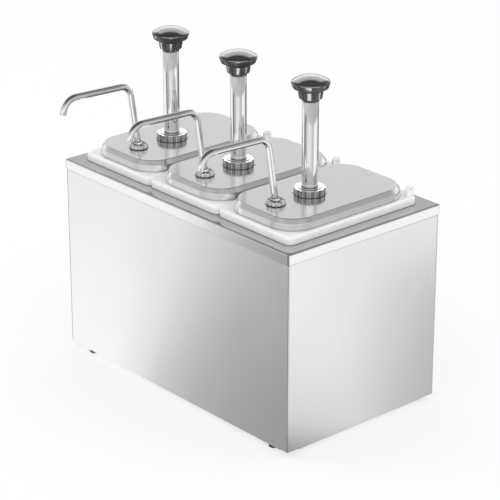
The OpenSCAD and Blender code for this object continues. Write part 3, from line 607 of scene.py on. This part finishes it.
PLUNGER_R = 0.0097
PLUNGER_WALL = 0.0012
STEM_EDGE_R = 0.0003
STEM_SIDES = 96
for side, pump_axis in pump_axes.items():
    foot, top = (corner[2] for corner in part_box(f"plunger_tube_{side}"))
    bore_r = PLUNGER_R - PLUNGER_WALL
    outline = eased([[bore_r, foot, STEM_EDGE_R], [PLUNGER_R, foot, STEM_EDGE_R],
                     [PLUNGER_R, top, STEM_EDGE_R], [bore_r, top, STEM_EDGE_R]], steps=4)
    grid = turned(outline, pump_axis, STEM_SIDES)
    tube = skin(f"plunger_stem_{side}", grid, bright_steel, closed=True)
    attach(tube, f"plunger_{side}")
    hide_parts(f"plunger_tube_{side}")
    dress(acetal, f"piston_{side}")
    dress(rubber, f"piston_seal_{side}")

# Return springs: hard-drawn steel wire, twelve turns with closed ends. They stand in the
# cylinders between the valve bodies and the pistons.

WIRE_R = 0.0007
COIL_R = 0.00875
WIRE_SIDES = 12
TURNS = 12.0
END_TURNS = 1.5
END_RISE = 0.002
RINGS_PER_TURN = 32
spring_wire = ground_steel("spring_wire", tone=0.6, gloss=0.25, grain=(500.0, 500.0, 500.0),
                           depth=0.05)


def helix_tube(centre, low, high):
    """A wire on a helix: the ring's centre turns about the axis while it climbs END_RISE a
    turn in the end turns and the rest evenly in between; rings stand upright."""
    turns = np.linspace(0, TURNS, int(TURNS * RINGS_PER_TURN) + 1)
    climb = high - low - 2 * WIRE_R
    marks = [0, END_TURNS, TURNS - END_TURNS, TURNS]
    rises = [0, END_TURNS * END_RISE, climb - END_TURNS * END_RISE, climb]
    height = low + WIRE_R + np.interp(turns, marks, rises)
    turn = 2 * np.pi * turns[:, None]
    section = np.linspace(0, 2 * np.pi, WIRE_SIDES, endpoint=False)
    radius = COIL_R + WIRE_R * np.cos(section)
    grid = np.stack([centre[0] + radius * np.cos(turn), centre[1] + radius * np.sin(turn),
                     height[:, None] + WIRE_R * np.sin(section)], axis=-1)
    poles = np.stack([centre[0] + COIL_R * np.cos(turn), centre[1] + COIL_R * np.sin(turn),
                      height[:, None]], axis=-1)
    first = np.repeat(poles[:1], WIRE_SIDES, axis=1)
    last = np.repeat(poles[-1:], WIRE_SIDES, axis=1)
    return np.concatenate([first, grid, last])[:, ::-1]


for side, pump_axis in pump_axes.items():
    low, high = (corner[2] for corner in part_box(f"return_spring_{side}"))
    spring = skin(f"spring_coil_{side}", helix_tube(pump_axis, low, high), spring_wire)
    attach(spring, f"plunger_{side}")
    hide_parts(f"return_spring_{side}")
    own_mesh(spring)

# Floor: a pale studio floor that keeps the object's shadow. The camera sees it white. Mirror
# rays alone see it glow in a painted pattern of bright and dark tables, which stand where they
# are from every side: a left and a right one near the object, a ring round them and the floor far
# off.

VIEW_TURN = np.radians(48.94)
VIEW_RISE = np.radians(22.53)
FLOOR_HALF = 4.0
FLOOR_WHITE = 1.03
FLOOR_TONE = 0.96
MATT_SHARE = 0.35
MIRROR_LIGHT = 1.04
TABLE_HALF = 0.5
RING_START = 0.66
FAR_START = 1.38
FADE = 0.08
RIGHT_TAKES_OVER = (0.07, 0.18)
RIGHT_OUTWARD = (0.15, 0.5)
RIGHT_LIMIT = (0.7, 1.0)
LEFT_TABLE = [(-0.5, 0.12), (-0.3, 0.12), (-0.24, 1.0), (-0.04, 1.0), (0.0, 0.85),
              (0.03, 0.64), (0.08, 0.47), (0.13, 0.38), (0.2, 0.33), (0.25, 0.2),
              (0.29, 0.95), (0.5, 1.0)]
RIGHT_TABLE = [(-0.5, 0.2), (-0.1, 0.45), (0.05, 0.48), (0.1, 0.58), (0.14, 0.72),
               (0.18, 0.9), (0.21, 1.0), (0.33, 1.0), (0.38, 0.55), (0.5, 0.5)]
AROUND = [(-180, 0.3), (-150, 0.6), (-124, 1.0), (-94, 1.0), (-89, 0.8), (-84, 0.4),
          (-78, 0.22), (-64, 0.25), (-44, 0.5), (-29, 0.78), (0, 0.87), (14, 0.8), (29, 0.6),
          (44, 0.55), (56, 1.0), (84, 1.0), (100, 0.75), (118, 0.2), (145, 0.22), (180, 0.3)]
FAR_FLOOR = [(-180, 0.4), (-140, 0.4), (-125, 0.8), (-105, 0.6), (-60, 0.6), (60, 0.47),
             (105, 0.47), (125, 0.8), (140, 0.4), (180, 0.4)]


def bearing(tree, way):
    """How far a place or a direction lies to the right and to the front as the camera sees
    it, and its bearing from the front, with -180 to 180 degrees carried over to 0 to 1."""
    inputs = {"Vector": way, "Rotation": (0, 0, -VIEW_TURN)}
    parts = add(tree, "SeparateXYZ", {0: add(tree, "Mapping", inputs).outputs["Vector"]})
    rightward = parts.outputs["X"]
    toward = reckon(tree, "MULTIPLY", parts.outputs["Y"], -1.0)
    angle = reckon(tree, "ARCTAN2", rightward, toward)
    return rightward, toward, remap(tree, angle, -np.pi, np.pi)


def tones_around(tree, share, stops):
    """A ramp of greys by bearing, through pairs of degrees and tone."""
    return greys(tree, share, [((degrees + 180) / 360, tone) for degrees, tone in stops])


def blend(tree, share, first, second, data_type="RGBA"):
    """First where the share is nought, second where it is one."""
    inputs = {0: share, "A": first, "B": second}
    return add(tree, "Mix", inputs, data_type=data_type).outputs["Result"]


floor_mesh = bpy.data.meshes.new("floor")
floor_corners = [(-FLOOR_HALF, -FLOOR_HALF, 0), (FLOOR_HALF, -FLOOR_HALF, 0),
                 (FLOOR_HALF, FLOOR_HALF, 0), (-FLOOR_HALF, FLOOR_HALF, 0)]
floor_mesh.from_pydata(floor_corners, [], [(0, 1, 2, 3)])
floor = bpy.data.objects.new("floor", floor_mesh)
bpy.context.scene.collection.objects.link(floor)
floor_paint = bpy.data.materials.new("floor_paint")
floor_paint.use_nodes = True
tree = floor_paint.node_tree
tree.nodes.clear()
place = add(tree, "TexCoord").outputs["Object"]
radius = add(tree, "VectorMath", {0: place}, operation="LENGTH").outputs["Value"]
rightward, toward, share = bearing(tree, place)
depth = remap(tree, toward, -TABLE_HALF, TABLE_HALF)
on_right = remap(tree, rightward, *RIGHT_TAKES_OVER, interpolation_type="SMOOTHSTEP")
limit = remap(tree, rightward, *RIGHT_OUTWARD, *RIGHT_LIMIT)
beyond, far = (remap(tree, radius, start, start + FADE, interpolation_type="SMOOTHSTEP")
               for start in (RING_START, FAR_START))
left_table, right_table = (greys(tree, depth, [(v + TABLE_HALF, tone) for v, tone in stops])
                           for stops in (LEFT_TABLE, RIGHT_TABLE))
right_table = reckon(tree, "MINIMUM", right_table, limit)
tables = blend(tree, on_right, left_table, right_table)
ring, horizon = (tones_around(tree, share, stops) for stops in (AROUND, FAR_FLOOR))
mirrored = blend(tree, far, blend(tree, beyond, tables, ring), horizon)
seen = add(tree, "Emission", {"Color": (1, 1, 1, 1), "Strength": FLOOR_WHITE})
matt = add(tree, "BsdfDiffuse", {"Color": (FLOOR_TONE, FLOOR_TONE, FLOOR_TONE, 1)})
plain = add(tree, "MixShader", {0: MATT_SHARE, 1: seen.outputs[0], 2: matt.outputs[0]})
# A painted glow that only mirror rays see.
mirror_glow = add(tree, "Emission", {"Color": mirrored, "Strength": MIRROR_LIGHT})
by_ray = add(tree, "MixShader", {0: add(tree, "LightPath").outputs["Is Glossy Ray"],
                                 1: plain.outputs[0], 2: mirror_glow.outputs[0]})
add(tree, "OutputMaterial", {"Surface": by_ray.outputs[0]})
floor_mesh.materials.append(floor_paint)

# Sky: even, plain light on all that is matt. The camera sees it white, and the metal mirrors
# a sky that gets darker overhead and at both sides, as in a studio lit from the front and
# the rear.

PLAIN_LIGHT = 0.9
SKY_BY_RISE = [(0.0, 1.0), (0.16, 1.0), (0.27, 0.78), (0.36, 0.69), (0.45, 0.62), (0.6, 0.5),
               (0.7, 0.32), (0.78, 0.13), (1.0, 0.1)]
SIDE_SKY = [(-180, 1.0), (-130, 1.0), (-112, 0.68), (-82, 0.68), (-55, 1.0), (40, 1.0),
            (72, 0.62), (94, 0.62), (118, 1.0), (180, 1.0)]
world = bpy.data.worlds.new("studio")
world.use_nodes = True
bpy.context.scene.world = world
tree = world.node_tree
paths = add(tree, "LightPath").outputs
way = add(tree, "TexCoord").outputs["Generated"]
rise = add(tree, "SeparateXYZ", {0: way}).outputs["Z"]
sky = reckon(tree, "MULTIPLY", greys(tree, rise, SKY_BY_RISE),
             tones_around(tree, bearing(tree, way)[2], SIDE_SKY))
straight = reckon(tree, "MAXIMUM", paths["Is Camera Ray"], paths["Is Transmission Ray"])
soft = blend(tree, paths["Is Glossy Ray"], PLAIN_LIGHT, sky, "FLOAT")
strength = blend(tree, straight, soft, 1.0, "FLOAT")
background = tree.nodes["Background"]
background.inputs["Color"].default_value = (1, 1, 1, 1)
tree.links.new(strength, background.inputs["Strength"])

# Lamps: weak soft boxes that the metal doesn't mirror, high on both sides and low on the
# right. The black knobs and the collars have windows and small low lamps of their own, whose
# mirror images are their highlights.

LAMP_AIM = Vector((0, 0, 0.38))
for name, spot, breadth, height, watts, lit in (
        ("high_left", (-1.4, -1.2, 1.9), 1.1, 1.1, 7.0, None),
        ("high_right", (1.6, 0.9, 1.7), 0.9, 0.9, 3.5, None),
        ("fill", (1.7, -1.5, 0.7), 1.6, 1.2, 6.0, None),
        ("knob_window", (-1.26, 1.1, 1.44), 1.9, 1.7, 28.0, lit_knobs),
        ("knob_front", (0.547, -0.476, 0.738), 2.5, 1.3, 30.0, lit_knobs),
        ("knob_glint", (0.317, -0.276, 0.1), 0.24, 0.16, 1.0, lit_knobs),
        ("knob_left", (-0.6, -0.24, 0.12), 0.16, 0.12, 0.3, lit_knobs),
        ("knob_right", (0.41, 0.41, 0.1), 0.14, 0.12, 0.25, lit_knobs),
        ("collar_window", (-1.26, 1.1, 1.3), 1.9, 1.7, 5.6, lit_collars)):
    lamp = bpy.data.lights.new(name, "AREA")
    lamp.shape = "RECTANGLE"
    lamp.size = breadth
    lamp.size_y = height
    lamp.energy = watts
    stand = bpy.data.objects.new(name, lamp)
    stand.location = spot
    aim = LAMP_AIM - stand.location
    stand.rotation_euler = aim.to_track_quat("-Z", "Y").to_euler()
    stand.visible_camera = False
    stand.visible_glossy = lit is not None
    stand.light_linking.receiver_collection = lit
    bpy.context.scene.collection.objects.link(stand)

# Camera: a long lens at the photograph's viewing angle, with no shift and no depth of field.
# The view is turned to the right of the front and looks down on the lids.

CAMERA_AT = (1.86285, -1.58758, 1.18599)
CAMERA_LENS = 158.92
CAMERA_SENSOR = 36.0
camera_data = bpy.data.cameras.new("photo_camera")
camera_data.lens = CAMERA_LENS
camera_data.sensor_width = CAMERA_SENSOR
camera = bpy.data.objects.new("photo_camera", camera_data)
camera.location = CAMERA_AT
level = np.cos(VIEW_RISE)
toward_camera = Vector((np.sin(VIEW_TURN) * level, -np.cos(VIEW_TURN) * level,
                        np.sin(VIEW_RISE)))
camera.rotation_euler = (-toward_camera).to_track_quat("-Z", "Y").to_euler()
bpy.context.scene.collection.objects.link(camera)
bpy.context.scene.camera = camera

bpy.context.scene.view_settings.view_transform = "Standard"
